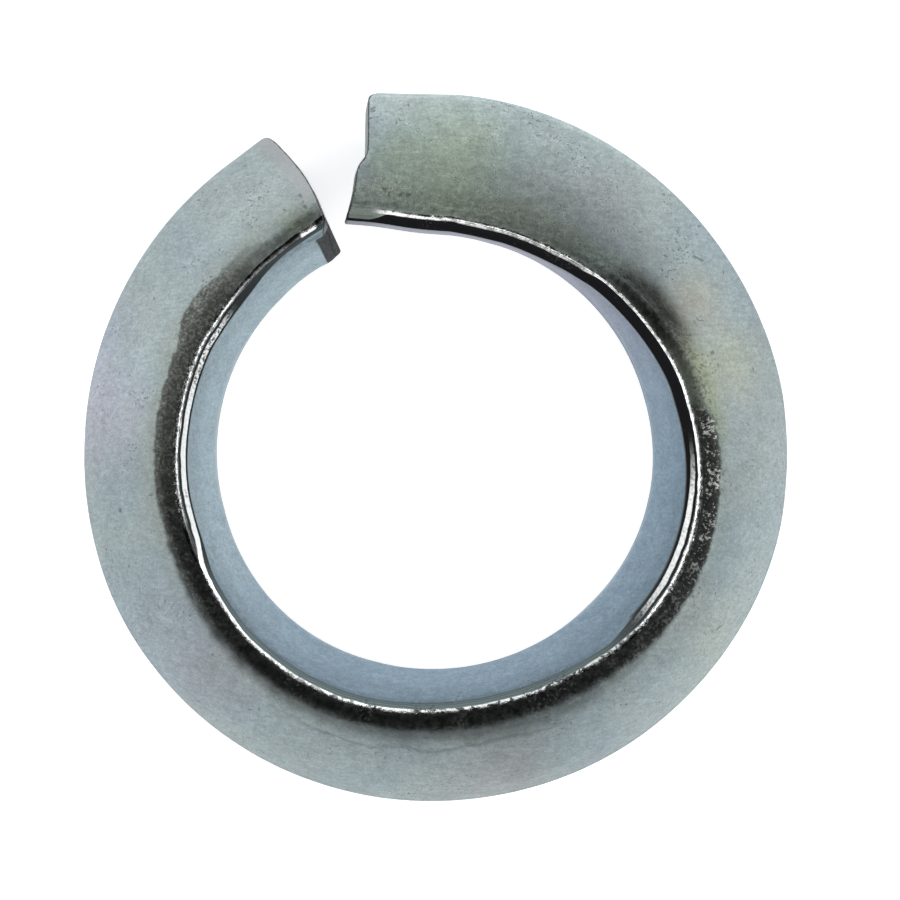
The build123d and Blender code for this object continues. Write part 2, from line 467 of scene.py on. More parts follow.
def washer_tree(columns, finish):
    tree = Tree("coiled_washer")
    bore = tree.size("Bore radius", BORE_RADIUS)
    heel = tree.size("Heel flat depth", HEEL_FLAT_DEPTH)
    first_angle = tree.size("Fixed end angle", FIXED_END_ANGLE)
    last_angle = tree.size("Free end angle", FREE_END_ANGLE)
    formed_angle = tree.size("Formed angle", FORMED_ANGLE)
    opening = tree.size("Fixed end opening", FIXED_END_OPENING)
    fixed_fade = tree.size("Fixed end fade", FIXED_END_FADE)
    free_fade = tree.size("Free end fade", FREE_END_FADE)
    lift = tree.size("Free end rise", FREE_END_RISE)
    lobe = tree.size("Lobe", LOBE)
    lobe_angle = tree.size("Lobe angle", LOBE_ANGLE)
    lip_height = tree.size("Lip height", 1.3)
    cut_round = tree.size("Cut edge round", 0.14)
    free_lean = tree.size("Free cut lean", 0.06)
    free_draw = tree.size("Free end draw", 0.2)
    fixed_draw = tree.size("Fixed end draw", 0.24)
    fixed_middle = tree.size("Fixed end middle", end_middle(FIXED_END_ANGLE, FIXED_END_OPENING))
    free_middle = tree.size("Free end middle", end_middle(FREE_END_ANGLE, 1))
    sheet, rows, row, column = bar_sheet(tree, columns)

    # How far along the bar each row is: round the ring, then out along a lead, then in over a cut end
    ends = float(CAP_ROWS + LEAD_ROWS)
    angle = tree.ramp(row, ends, ends + ARC_ROWS - 1, first_angle, last_angle, smooth=False)
    at_free = tree.math("GREATER_THAN", row, rows / 2)
    end_row = tree.math("MINIMUM", row, tree.minus(float(rows - 1), row))
    lead = tree.ramp(end_row, ends, float(CAP_ROWS), smooth=False)
    cap = tree.ramp(end_row, float(CAP_ROWS), 0.0, smooth=False)

    # The section here, between formed and coiled, with its bore reamed and its heel flat
    opened = tree.plus(
        tree.times(opening, tree.ramp(tree.minus(formed_angle, angle), 0.0, fixed_fade)),
        tree.ramp(tree.minus(angle, formed_angle), 0.0, free_fade),
    )
    rise = tree.times(lift, tree.ramp(angle, formed_angle, last_angle))
    blend = tree.node("ShaderNodeMix", data_type="VECTOR")
    tree.feed(blend.inputs[0], opened)
    tree.feed(blend.inputs[4], tree.sampled("formed", column, "FLOAT_VECTOR"))
    tree.feed(blend.inputs[5], tree.sampled("coiled", column, "FLOAT_VECTOR"))
    radius, height, facing = tree.split(blend.outputs[1])
    place = tree.sampled("place", column)
    top = tree.line(opened, CREST_MIDDLE[1][0] - CREST_MIDDLE[0][0], CREST_MIDDLE[0][0])
    from_top = tree.minus(radius, top)
    swing = tree.math("RADIANS", tree.times(tree.minus(angle, lobe_angle), LOBES))
    lobed = tree.times(lobe, tree.math("COSINE", swing))
    radius = tree.larger(tree.plus(lobed, radius), tree.plus(bore, tree.larger(lobed, 0.0)))
    height = tree.larger(tree.minus(tree.plus(height, rise), heel), 0.0)

    # The crest and the outer edge stray a little
    at_edge = tree.ramp(radius, *OUTER_EDGE)
    at_bore = tree.ramp(radius, *BORE_SIDE)
    near_crest = tree.between(place, *STRAY_ZONE, smooth_out=False)
    for share, drawn in ((near_crest, CREST_STRAY), (at_edge, OUTER_STRAY)):
        stray = tree.curve(angle, drawn, ROUND_THE_RING, *STRAY_LIMITS)
        radius = tree.plus(radius, tree.times(share, stray))

    # Both edges of the free end's lead draw in to its tip, and the fixed end's keeps to the bore
    free_lead = tree.times(lead, at_free)
    fixed_lead = tree.minus(lead, free_lead)
    radius = tree.minus(radius, tree.times(free_lead, at_edge, free_draw))
    radius = tree.plus(radius, tree.times(tree.ramp(free_lead, *FREE_BORE_DRAW), at_bore, free_draw))
    radius = tree.minus(radius, tree.times(fixed_lead, fixed_lead, at_bore, fixed_draw))

    # The die rolled a lip on the crest's inner side, where it turns to the bore
    lip = tree.times(
        tree.curve(facing, LIP, LIP_SPAN, *LIP_LIMITS),
        tree.curve(angle, LIPPED, ROUND_THE_RING, 1.0),
        lip_height,
        tree.ramp(place, *LIP_ZONE),
    )
    tilt = tree.math("RADIANS", facing)
    radius = tree.minus(radius, tree.times(lip, tree.math("SINE", tilt)))
    height = tree.line(lip, tree.math("COSINE", tilt), height)
    radius, height, dent = dented(tree, radius, height, place, fixed_lead)

    # Over a cut end the outline draws in to the middle, round a small edge first
    middle = tree.pick(at_free, fixed_middle, free_middle, "VECTOR")
    spoke = tree.vector("SUBTRACT", tree.join(radius, height), middle)
    turn = tree.ramp(cap, 0.0, CAP_ROUND_SHARE, 0.0, math.pi / 2, smooth=False)
    inset = tree.times(cut_round, tree.rest(tree.math("COSINE", turn)))
    setback = tree.times(cut_round, tree.rest(tree.math("SINE", turn)))
    kept = tree.rest(tree.math("DIVIDE", inset, tree.vector("LENGTH", spoke)))
    kept = tree.times(kept, tree.ramp(cap, CAP_ROUND_SHARE, 1.0, 1.0, 0.0, smooth=False))
    radius, height, _ = tree.split(tree.vector("ADD", middle, tree.scaled(spoke, kept)))

    # Where each cut lies along its lead
    along, out, up = ROLLOVER_FACING
    rolled = tree.minus(
        tree.times(tree.minus(radius, ROLLOVER_POINT[1]), -out / along),
        tree.times(tree.minus(height, ROLLOVER_POINT[2]), up / along),
    )
    fixed_cut = tree.curve(radius, FIXED_CUT, CUT_SPAN, CUT_DEPTH)
    fixed_cut = tree.math("SMOOTH_MIN", fixed_cut, tree.plus(rolled, ROLLOVER_POINT[0]), ROLLOVER_BLEND)
    free_cut = tree.curve(radius, FREE_CUT, CUT_SPAN, CUT_DEPTH)
    free_cut = tree.plus(free_cut, tree.times(free_lean, tree.minus(FREE_CUT_LEVEL, height)))
    cut = tree.pick(at_free, fixed_cut, free_cut)
    reach = tree.minus(tree.times(lead, cut), tree.times(lead, setback))

    # Out along the radius, and straight on past the last angle
    turned = tree.math("RADIANS", angle)
    cosine = tree.math("COSINE", turned)
    sine = tree.math("SINE", turned)
    onward = tree.join(tree.times(sine, -1.0), cosine)
    onward = tree.scaled(onward, tree.times(tree.pick(at_free, -1.0, 1.0), reach))
    position = tree.vector("ADD", tree.scaled(tree.join(cosine, sine), radius), onward)
    position = tree.vector("ADD", position, tree.join(0.0, 0.0, height))
    bent = tree.node("GeometryNodeSetPosition")
    tree.feed(bent.inputs["Geometry"], sheet)
    tree.feed(bent.inputs["Position"], position)

    # Marks for the unevenness and the finish
    bar = bent.outputs[0]
    for name, value in (
        ("place", place),
        ("angle", angle),
        ("from_top", from_top),
        ("facing", facing),
        ("dent", dent),
        ("crest", tree.between(place, *CREST_ZONE)),
        ("wall", tree.between(place, *WALL_ZONE)),
        ("sheared", tree.ramp(cap, 0.05, CAP_ROUND_SHARE)),
        ("reach", tree.math("DIVIDE", reach, cut)),
    ):
        bar = tree.keep(bar, name, value)

    # Close the seam and the two poles
    merge = tree.node("GeometryNodeMergeByDistance")
    tree.feed(merge.inputs["Geometry"], bar)
    tree.feed(merge.inputs["Distance"], WELD_DISTANCE)

    sized = tree.node("GeometryNodeTransform")
    tree.feed(sized.inputs["Geometry"], uneven_surface(tree, merge.outputs[0]))
    tree.feed(sized.inputs["Scale"], (MM, MM, MM))
    smooth = tree.fed(tree.node("GeometryNodeSetShadeSmooth"), sized.outputs[0])
    real = tree.fed(tree.node("GeometryNodeRealizeInstances"), smooth.outputs[0])
    plated = tree.fed(tree.node("GeometryNodeSetMaterial"), real.outputs[0])
    plated.inputs["Material"].default_value = finish
    tree.feed(tree.end.inputs["Washer"], plated.outputs[0])
    return tree


def coiled_washer(finish):
    """Runs the tree over the section and returns the washer as a plain mesh."""
    ring = section_ring()
    tree = washer_tree(len(ring.vertices), finish)
    stock = bpy.data.objects.new("bar_stock", ring)
    bpy.context.scene.collection.objects.link(stock)
    coil = stock.modifiers.new("coil", "NODES")
    coil.node_group = tree.group
    for identifier, value in tree.sizes.items():
        coil[identifier] = value
    bpy.context.view_layer.update()
    shaped = stock.evaluated_get(bpy.context.evaluated_depsgraph_get())
    mesh = bpy.data.meshes.new_from_object(shaped)
    stock.modifiers.clear()
    bpy.data.objects.remove(stock)
    mesh.name = "coiled_washer"
    piece = bpy.data.objects.new("coiled_washer", mesh)
    bpy.context.scene.collection.objects.link(piece)
    return piece


# ---------------------------------------------------------------- the finish, drawn against the angle round the ring

# The smoky band on the crest, partly a dark finish and partly painted reflection of the dark overhead: where it ends
# (mm out from the top), how softly (mm), how strong it is, how much light grain shows in it, and how many large bright
# scales, painted glints
SMOKE_AND_REFLECTION_EDGE = (
    (127, 0.05), (130, 0.5), (134, 0.75), (141, 0.85), (149, 1.15), (158, 0.65), (190, 0.62), (220, 0.75), (250, 0.7),
    (265, 0.85), (298, 0.85), (312, 0.62), (330, 0.5), (350, 0.48), (360, 0.55), (366, 0.55), (371, 0.12), (379, 0.3),
    (389, 1.2), (396, 1.3), (404, 0.8), (414, 0.0), (446, 0.0),
)
SMOKE_AND_REFLECTION_SOFT = (
    (127, 0.12), (141, 0.12), (165, 0.09), (190, 0.12), (220, 0.34), (255, 0.66), (298, 0.8), (312, 0.4),
    (330, 0.14), (350, 0.1), (364, 0.14), (369, 0.35), (380, 0.6), (394, 0.6), (412, 1.2), (446, 1.2),
)
SMOKE_AND_REFLECTION_STRENGTH = (
    (127, 0.45), (133, 0.55), (139, 0.85), (145, 1), (366, 1), (370, 0.8), (380, 0.7), (389, 0.95), (399, 0.82),
    (409, 0.42), (420, 0.26), (446, 0.15),
)
SMOKE_AND_REFLECTION_GRAIN = (
    (127, 0.9), (150, 1), (170, 0.85), (185, 0.5), (200, 0.22), (225, 0.1), (290, 0.06), (310, 0.2), (330, 0.35),
    (352, 0.4), (366, 0.45), (376, 0.5), (386, 0.15), (410, 0.1), (446, 0.4),
)
SCALES_AND_GLINTS = (
    (127, 0.25), (150, 0.1), (200, 0.1), (240, 0), (310, 0.1), (330, 0.3), (345, 0.9), (364, 1), (370, 0.5),
    (377, 0.1), (446, 0),
)
# Where the bright line on the crest, a painted highlight on a burnished edge, starts and ends (degrees turned inward),
# how bright and how broken it is, and how far a dark gap of painted reflection parts it
SHINE_START = (
    (127, 15), (198, 15), (214, 19), (300, 19), (316, 16), (350, 16), (360, 19), (400, 19), (410, 16), (446, 16),
)
SHINE_END = (127, 34), (140, 33), (150, 31), (402, 31), (412, 36.5), (438, 36.5), (446, 34)
SHINE_LEVEL = (
    (127, 0.05), (134, 0.1), (141, 0.35), (148, 0.9), (185, 0.85), (195, 0.25), (204, 0.0), (212, 0.6), (217, 1),
    (240, 0.95), (262, 0.75), (275, 0.6), (300, 0.5), (312, 0.42), (320, 0.6), (330, 1), (370, 1), (400, 0.85),
    (420, 0.9), (446, 0.9),
)
SHINE_BROKEN = (
    (127, 1), (136, 0.9), (150, 0.7), (180, 0.6), (215, 0.4), (245, 0.7), (270, 0.95), (300, 1), (318, 0.9),
    (340, 0.4), (362, 0.4), (385, 0.6), (446, 0.5),
)
PARTED = (127, 0), (380, 0), (392, 0.5), (404, 0.9), (436, 0.9), (446, 0)
# The same for the second line, also a painted highlight, along the lip's bead
INNER_START = (
    (127, 36), (196, 36), (212, 19), (218, 19), (308, 19), (314, 36), (360, 36), (400, 36), (446, 33),
)
INNER_END = (
    (127, 48.5), (196, 48.5), (212, 30.5), (218, 30.5), (308, 30.5), (314, 48.5), (360, 48.5), (400, 41), (446, 37),
)
INNER_LEVEL = (
    (127, 0), (138, 0), (146, 0.6), (154, 1), (212, 1), (218, 0), (312, 0), (326, 0.9), (345, 1), (356, 0.75),
    (363, 0.2), (368, 0), (446, 0),
)
INNER_BROKEN = (
    (127, 1), (152, 1), (164, 0.75), (174, 0.15), (212, 0.1), (312, 1), (326, 0.6), (340, 0.2), (354, 0.6), (368, 1),
    (446, 0),
)
# How black the lip is, as painted shade, and where it ends (degrees turned inward)
LIP_PAINTED_SHADE = (
    (127, 0.7), (150, 0.9), (198, 0.85), (212, 0.4), (240, 0.1), (300, 0.15), (316, 0.6), (330, 0.9), (352, 1),
    (446, 1),
)
LIP_END = (
    (127, 40), (134, 46), (144, 58), (199, 58), (211, 42), (250, 46), (296, 46), (312, 42), (322, 56), (346, 58),
    (359, 91), (446, 91),
)
# How far the plate is tinged olive beside the crest, and how strong the tide mark is
TINGE = (
    (127, 0.3), (150, 0.35), (195, 0.3), (215, 0.1), (300, 0.1), (335, 0.2), (360, 0.35), (369, 1), (389, 1),
    (398, 0.5), (410, 0.45), (446, 0.45),
)
TIDE_MARK = (127, 0), (225, 0), (240, 0.5), (258, 1), (285, 1), (298, 0.4), (310, 0), (446, 0)
# Painted shade: how far out from the crest (mm) the face darkens towards it, and how much; painted light and shade:
# how light the whole face is round the ring
SHADE_REACH = (127, 2.4), (360, 2.4), (390, 2.9), (412, 4.2), (446, 4.4)
SHADE_DEPTH = (
    (127, 0.28), (250, 0.34), (284, 0.44), (300, 0.34), (330, 0.28), (370, 0.22), (392, 0.32), (410, 0.5),
    (430, 0.52), (446, 0.42),
)
FACE_PAINTED_LIGHT = (
    (127, 1.06), (150, 1.05), (165, 1.12), (180, 1.0), (195, 0.97), (230, 0.95), (262, 0.9), (290, 0.87), (312, 0.97),
    (335, 1.02), (370, 1.02), (395, 1.0), (410, 1.13), (430, 1.33), (446, 1.37),
)
# How pale the wall is, and how lilac
WALL_PALE = (127, 1), (190, 0.95), (225, 0.42), (260, 0.15), (330, 0.15), (360, 0), (390, 0), (446, 0.2)
WALL_LILAC = (127, 0), (350, 0), (372, 0.12), (390, 0.4), (412, 0.72), (430, 0.88), (446, 0.88)

# ---------------------------------------------------------------- the finish, where it lies and its colours

# Where things begin and end on the section, in zones
BAND_BEGINS = 1.2, 1.4
CREST_ENDS = 3.0, 2.98
WALL_BEGINS = 2.98, 3.0
WALL_ENDS = 4.1, 4.0
RUBBED_ZONE = 2.1, 1.9
PITTED_ZONE = 3.1, 3.05, 0.2, 1.0
WALL_TOP_SHADE = 3.05, 3.3, 0.88, 1.0
# Where the surface has turned inward so many degrees
SMOKE_AND_REFLECTION_FACING = 27, 21
DEEP_REFLECTION_FACING = 19, 4
SCALE_FACING = 14, 6
GRIT_FACING = 16, 10
CHALK_GLINT_FACING = -27, -16
DYING_FACING = 12, 20
COARSE_FACING = 20, 14
LIP_FROM = 30
LIP_FROM_AT_TIP = 64
DARK_GAP_FACING = 27.5
DARK_GAP_WIDTH = 1.3, 0.6
# So many mm out from the top
TINGE_REACH = 1.7, 0.5
GRIT_REACH = 1.3, 0.4
COARSE_REACH = 1.0, 0.4
SHADE_FROM = 0.2
TIDE = (1.25, 1.35), (1.55, 1.38)
BORDER_WIDTH = 0.12, 0.03
# So far along a lead
DYING_LEAD = 0.58, 0.8
DASH_LEAD = (0.42, 0.48), (0.82, 0.76)
RUBBED_LEAD = 0.7, 0.8
RIM_LEAD = 0.972, 0.986
RIM_FADE = 0.9, 0.5
DENT_SEEN = 0.08, 0.2
END_MARGIN = 0.5

# The passivated plate, and its faint tints as (share, place, reach, colour); three dark patches among them are painted
# shade
PLATE = (0.315, 0.375, 0.39), (0.345, 0.395, 0.395)
TINTS_AND_SHADE_PATCHES = (
    (0.55, (-17.1, 2.2, 3), 5, (0.415, 0.39, 0.465)),
    (0.55, (-17.0, 6.5, 3), 3, (0.32, 0.355, 0.43)),
    (0.35, (-12, -10, 4), 6, (0.345, 0.355, 0.43)),
    (0.8, (1.0, 14.4, 4), 5.2, (0.325, 0.395, 0.285)),
    (0.45, (-2.0, 14.6, 5), 2.6, (0.33, 0.41, 0.29)),
    (0.5, (5.5, 12.0, 5), 4.0, (0.33, 0.36, 0.31)),
    (0.7, (15.0, 4.6, 5), 3.2, (0.40, 0.42, 0.335)),
    (0.75, (13.3, 7.7, 5), 2.8, (0.355, 0.35, 0.295)),
    # Painted shade: these two darken the face
    (0.7, (4.0, -15.0, 4), 3.4, (0.255, 0.265, 0.265)),
    (0.7, (-11, -11, 4), 3.4, (0.285, 0.31, 0.315)),
    (0.45, (8.5, 12.5, 4), 3.5, (0.375, 0.36, 0.345)),
    (0.5, (14.3, -9.5, 4), 4, (0.345, 0.39, 0.34)),
    (0.4, (3, -16.5, 3), 4, (0.37, 0.355, 0.37)),
    (0.4, (15.5, -1.0, 4), 3, (0.36, 0.38, 0.35)),
    (0.4, (-7, -15.5, 3), 3.5, (0.35, 0.385, 0.36)),
    # Painted shade on the fixed end's rolled-over bore corner
    (0.8, (-6.76, 11.35, 6), 1.6, (0.22, 0.25, 0.19)),
)
OLIVE_TINGE = 1.03, 1.0, 0.78
UNTINGED = 1, 1, 1
WALL = (0.235, 0.315, 0.385), (0.33, 0.41, 0.45)
LILAC = 0.255, 0.25, 0.315
# The smoky band, partly painted dark reflection and darkest where it faces straight up; its light grains and scales
# are painted glints
COAL_AND_DARK_REFLECTION = (0.062, 0.066, 0.06), (0.026, 0.028, 0.027)
COAL_GRAIN_AND_GLINT = 0.17, 0.18, 0.165
SCALE_GLINT_GREY = 0.5, 0.52, 0.49
BORDER_BLACK = 0.02, 0.021, 0.018
# The lip, painted black as shade, and the bright lines, painted highlights
LIP_SHADE_GREY = 0.16, 0.205, 0.21
LIP_SHADE_BLACK = 0.012, 0.012, 0.013
LINE_GAPS_DARK_REFLECTION = 0.035, 0.037, 0.035
OUTER_HIGHLIGHT_SILVER = 0.62, 0.63, 0.62
INNER_HIGHLIGHT_SILVER = 0.88, 0.89, 0.88
# The cut ends, the dent with its painted shade, and the pits
RUBBED_GREY = 0.38, 0.375, 0.385
TORN_GREY = 0.19, 0.20, 0.20
DENT_SHADE_GREY = (0.05, 0.054, 0.056), (0.09, 0.094, 0.095)
RIM_BLACK = 0.04, 0.036, 0.036
PIT_BLACK = 0.07, 0.07, 0.068

# Small ragged marks as (place, length, width, degrees turned from X)
NICKS = (
    ((13.55, 9.87), 0.65, 0.12, -30), ((14.14, 5.07), 0.26, 0.16, 80), ((-3.1, 17.4), 0.3, 0.3, 60),
    ((-3.2, 17.0), 0.16, 0.12, 20), ((-2.47, 13.3), 0.3, 0.24, 110), ((-2.6, 13.75), 0.2, 0.1, 60),
    ((-2.25, 13.1), 0.18, 0.16, 110), ((-1.65, 13.04), 0.25, 0.16, 20), ((-1.25, 13.04), 0.22, 0.16, 70),
    ((-6.73, 12.95), 0.3, 0.14, 100), ((-6.46, 12.42), 0.32, 0.16, 130), ((-6.6, 12.7), 0.2, 0.1, 90),
    ((-7.47, 12.26), 0.24, 0.1, 160), ((8.9, 12.9), 0.4, 0.07, 45), ((10.5, 11.2), 0.3, 0.08, 10),
    ((14.6, -9.0), 0.25, 0.12, 40), ((-16.0, -3.0), 0.22, 0.12, 100), ((2.5, -14.3), 0.3, 0.14, 15),
)
NICK_LEVEL = 5
NICK_DEPTH = 10


class Finish(Nodes):
    """One procedural finish, mixed from places on the object and the marks that the tree left on it."""

    def __init__(self, name):
        self.material = bpy.data.materials.new(name)
        self.material.use_nodes = True
        super().__init__(self.material.node_tree)
        self.shader = self.nodes["Principled BSDF"]
        self.here = self.node("ShaderNodeTexCoord").outputs["Object"]
        self.angle = self.mark("angle")

    def mark(self, name):
        return self.node("ShaderNodeAttribute", attribute_name=name).outputs["Fac"]

    def stretched(self, stretch):
        """Places on the object, turned and scaled by the stretch (angles, scales) if there is one."""
        if not stretch:
            return self.here
        made = self.fed(self.node("ShaderNodeMapping"), self.here)
        made.inputs["Rotation"].default_value, made.inputs["Scale"].default_value = stretch
        return made.outputs[0]

    def noise(self, size, detail=2.0, stretch=None, roughness=0.5):
        """Cloudy noise whose blotches are about size across, in millimetres."""
        made = self.node("ShaderNodeTexNoise")
        self.feed(made.inputs["Vector"], self.stretched(stretch))
        made.inputs["Scale"].default_value = 1 / (size * MM)
        made.inputs["Detail"].default_value = detail
        made.inputs["Roughness"].default_value = roughness
        return made.outputs[0]

    def specks(self, spacing, size, share, stretch):
        """Small specks, on a share of the cells of the given spacing, drawn out by the stretch."""
        made = self.node("ShaderNodeTexVoronoi")
        self.feed(made.inputs["Vector"], self.stretched(stretch))
        made.inputs["Scale"].default_value = 1 / (spacing * MM)
        chance = self.fed(self.node("ShaderNodeSeparateColor"), made.outputs["Color"]).outputs[0]
        spot = self.ramp(made.outputs["Distance"], size, size / 2)
        return self.times(spot, self.math("LESS_THAN", chance, share))

    def nick(self, centre, length, width, turn, ragged):
        """A small ragged mark about a place (x, y), turned so many degrees from X, in millimetres."""
        made = self.fed(self.node("ShaderNodeMapping", vector_type="TEXTURE"), self.here)
        made.inputs["Location"].default_value = centre[0] * MM, centre[1] * MM, NICK_LEVEL * MM
        made.inputs["Rotation"].default_value = 0, 0, math.radians(turn)
        made.inputs["Scale"].default_value = length / 2 * MM, width / 2 * MM, NICK_DEPTH * MM
        away = self.stirred(self.vector("LENGTH", made.outputs[0]), ragged, 4.0)
        return self.ramp(away, 1.2, 0.6)

    def patch(self, centre, reach):
        """A soft round patch about a place on the object, both in millimetres."""
        away = self.vector("DISTANCE", self.here, [part * MM for part in centre])
        return self.ramp(away, reach * MM, 0.0)

    def round_the_ring(self, points):
        """An amount drawn against the angle round the ring."""
        high = max(1.0, max(amount for angle, amount in points))
        return self.curve(self.angle, points, ROUND_THE_RING, high)

    def mixed(self, share, first, second):
        made = self.node("ShaderNodeMix")
        self.feed(made.inputs[0], share)
        self.feed(made.inputs[2], first)
        self.feed(made.inputs[3], second)
        return made.outputs[0]

    def blend(self, share, first, second):
        """Mixes two colours."""
        made = self.node("ShaderNodeMix", data_type="RGBA")
        self.feed(made.inputs[0], share)
        for socket, value in ((made.inputs[6], first), (made.inputs[7], second)):
            self.feed(socket, value if isinstance(value, bpy.types.NodeSocket) else (*value, 1))
        return made.outputs[2]


class ZincPlate(Finish):
    """Blue zinc on spring steel, with what the die, the blade and the barrel left on it, and painted shade,
    reflections, glints and highlights.
    """

    def __init__(self):
        super().__init__("blue_zinc_plate")
        self.place = self.mark("place")
        self.from_top = self.mark("from_top")
        self.facing = self.mark("facing")
        self.sheared = self.mark("sheared")
        self.dent = self.mark("dent")
        self.reach = self.mark("reach")
        self.mottle = self.noise(0.9, 3)
        self.grain = self.noise(0.3, 2, roughness=0.7)
        self.powder = self.noise(0.11, 1, roughness=0.6)
        self.speck = self.noise(0.16, 3, roughness=0.7)
        self.wavy = self.stirred(self.facing, self.mottle, 7.0)
        self.graininess = self.round_the_ring(SMOKE_AND_REFLECTION_GRAIN)
        self.at_fixed_end = self.math("LESS_THAN", self.angle, FIXED_END_ANGLE + END_MARGIN)
        self.at_free_end = self.math("GREATER_THAN", self.angle, FREE_END_ANGLE - END_MARGIN)
        # Past the lip's end the crest's inner side belongs to the wall
        lip_end = self.round_the_ring(LIP_END)
        self.lip_inside = self.ramp(self.facing, lip_end, self.plus(lip_end, 4))
        wall = self.larger(self.ramp(self.place, *WALL_BEGINS), self.lip_inside)
        self.wall = self.times(wall, self.ramp(self.place, *WALL_ENDS))

    def plate(self):
        """Grey-blue, with faint clouds of other tints, and painted shade that is darker towards the crest and lighter
        or darker round the ring.
        """
        tone = self.blend(self.ramp(self.noise(5, 1), 0.35, 0.65), *PLATE)
        # Tints, and patches of painted shade
        for share, centre, reach, tint in TINTS_AND_SHADE_PATCHES:
            tone = self.blend(self.times(self.patch(centre, reach), share), tone, tint)
        tinge = self.times(self.ramp(self.from_top, *TINGE_REACH), self.round_the_ring(TINGE))
        tone = self.vector("MULTIPLY", tone, self.blend(tinge, UNTINGED, OLIVE_TINGE))
        # Painted shade towards the crest, and painted light and shade round the ring
        shade = self.ramp(
            self.from_top, SHADE_FROM, self.round_the_ring(SHADE_REACH), self.rest(self.round_the_ring(SHADE_DEPTH)),
            1.0, smooth=False)
        tide = self.between(self.stirred(self.from_top, self.noise(2.2, 3), 1.2), *TIDE)
        tide = self.times(tide, self.round_the_ring(TIDE_MARK))
        shade = self.times(shade, self.round_the_ring(FACE_PAINTED_LIGHT), self.line(tide, -0.22, 1.0))
        tone = self.scaled(tone, shade)

        wall_tone = self.blend(self.round_the_ring(WALL_PALE), *WALL)
        wall_tone = self.blend(self.round_the_ring(WALL_LILAC), wall_tone, LILAC)
        wall_tone = self.scaled(wall_tone, self.ramp(self.place, *WALL_TOP_SHADE))
        tone = self.blend(self.wall, tone, wall_tone)

        streak = self.noise(0.25, 2, ((0, 0, 0.6), (0.3, 1.5, 1)))
        shade = self.times(
            self.ramp(self.mottle, 0.25, 0.75, 0.94, 1.06),
            self.ramp(streak, 0.25, 0.75, 0.94, 1.06),
            self.ramp(self.grain, 0.2, 0.8, 0.86, 1.14),
            self.ramp(self.powder, 0.2, 0.8, 0.88, 1.12),
        )
        return self.scaled(tone, shade)

    def smoked_and_reflecting(self, tone):
        """The smoky, grainy band on the crest, partly a dark finish from the coiling die and partly painted reflection
        of the dark overhead, with painted glints on its light grains and scales. Beside it the tinged plate is
        granular.
        """
        stir = self.times(self.minus(self.grain, 0.5), self.line(self.graininess, 0.15, 0.12))
        ragged = self.plus(self.stirred(self.from_top, self.mottle, 0.4), stir)
        edge = self.round_the_ring(SMOKE_AND_REFLECTION_EDGE)
        soft = self.round_the_ring(SMOKE_AND_REFLECTION_SOFT)
        self.smoke_and_reflection = self.times(
            self.ramp(ragged, self.plus(edge, soft), self.minus(edge, soft)),
            self.ramp(self.facing, *SMOKE_AND_REFLECTION_FACING),
            self.ramp(self.place, *BAND_BEGINS),
            self.round_the_ring(SMOKE_AND_REFLECTION_STRENGTH),
        )
        # Painted reflection: the band is darkest where the surface faces straight up
        deep_reflection = self.rest(self.times(self.graininess, self.ramp(self.facing, *DEEP_REFLECTION_FACING)))
        coal_and_reflection = self.blend(deep_reflection, *COAL_AND_DARK_REFLECTION)
        coal_and_reflection = self.blend(self.times(self.ramp(self.speck, 0.46, 0.66), self.graininess), coal_and_reflection, COAL_GRAIN_AND_GLINT)
        clump = self.ramp(self.mottle, 0.38, 0.62, 0.09, -0.04)
        scales = self.ramp(self.minus(self.noise(0.17, 2, roughness=0.7), clump), 0.52, 0.6)
        self.scales = self.times(scales, self.ramp(self.facing, *SCALE_FACING), self.round_the_ring(SCALES_AND_GLINTS))
        # Painted glints: the scales are light grey
        coal_and_reflection = self.blend(self.scales, coal_and_reflection, SCALE_GLINT_GREY)
        border = self.math("ABSOLUTE", self.minus(ragged, self.line(soft, 0.25, edge)))
        border = self.times(self.ramp(border, *BORDER_WIDTH), self.ramp(self.graininess, 0.15, 0.6, 0.0, 0.65))
        tone = self.blend(self.smoke_and_reflection, tone, self.blend(border, coal_and_reflection, BORDER_BLACK))

        gritty = self.times(
            self.ramp(self.from_top, *GRIT_REACH),
            self.round_the_ring(TINGE),
            self.ramp(self.speck, 0.48, 0.6),
            self.ramp(self.facing, *GRIT_FACING),
        )
        return self.scaled(tone, self.line(gritty, -0.45, 1.0))

    def lipped(self, tone):
        """The lip where the crest turns to the bore, painted black as shade. It dies out at the free end."""
        self.dying = self.times(self.at_free_end, self.ramp(self.reach, *DYING_LEAD))
        dulled = self.times(self.dying, self.ramp(self.facing, *DYING_FACING))
        tone = self.scaled(tone, self.line(dulled, -0.35, 1.0))
        start = self.line(self.dying, LIP_FROM_AT_TIP - LIP_FROM, LIP_FROM)
        self.lip = self.times(
            self.ramp(self.wavy, start, self.plus(start, 1.5)),
            self.ramp(self.place, *CREST_ENDS),
            self.rest(self.lip_inside),
        )
        # Painted shade: how black the lip is round the ring
        self.black = self.round_the_ring(LIP_PAINTED_SHADE)
        ribs = self.math("SINE", self.line(self.mottle, 9.0, self.times(self.facing, 1.1)))
        shaded_grey = self.scaled(LIP_SHADE_GREY, self.line(ribs, 0.22, 1.0))
        return self.blend(self.lip, tone, self.blend(self.black, shaded_grey, LIP_SHADE_BLACK))

    def bright_lines(self, tone):
        """The burnished line beside the lip, and a second one along its bead, both painted highlights on glossy edges.

        At the fixed end the first is down to one short dash, and at the free end it stops short of the cut.
        """
        start = self.round_the_ring(SHINE_START)
        end = self.round_the_ring(SHINE_END)
        outer_line = self.between(self.wavy, (start, self.plus(start, 3)), (end, self.minus(end, 1.5)))
        beads = self.ramp(self.noise(0.4, 3, roughness=0.7), 0.44, 0.54)
        broken = self.mixed(self.round_the_ring(SHINE_BROKEN), 1.0, beads)
        broken = self.times(broken, self.round_the_ring(SHINE_LEVEL))
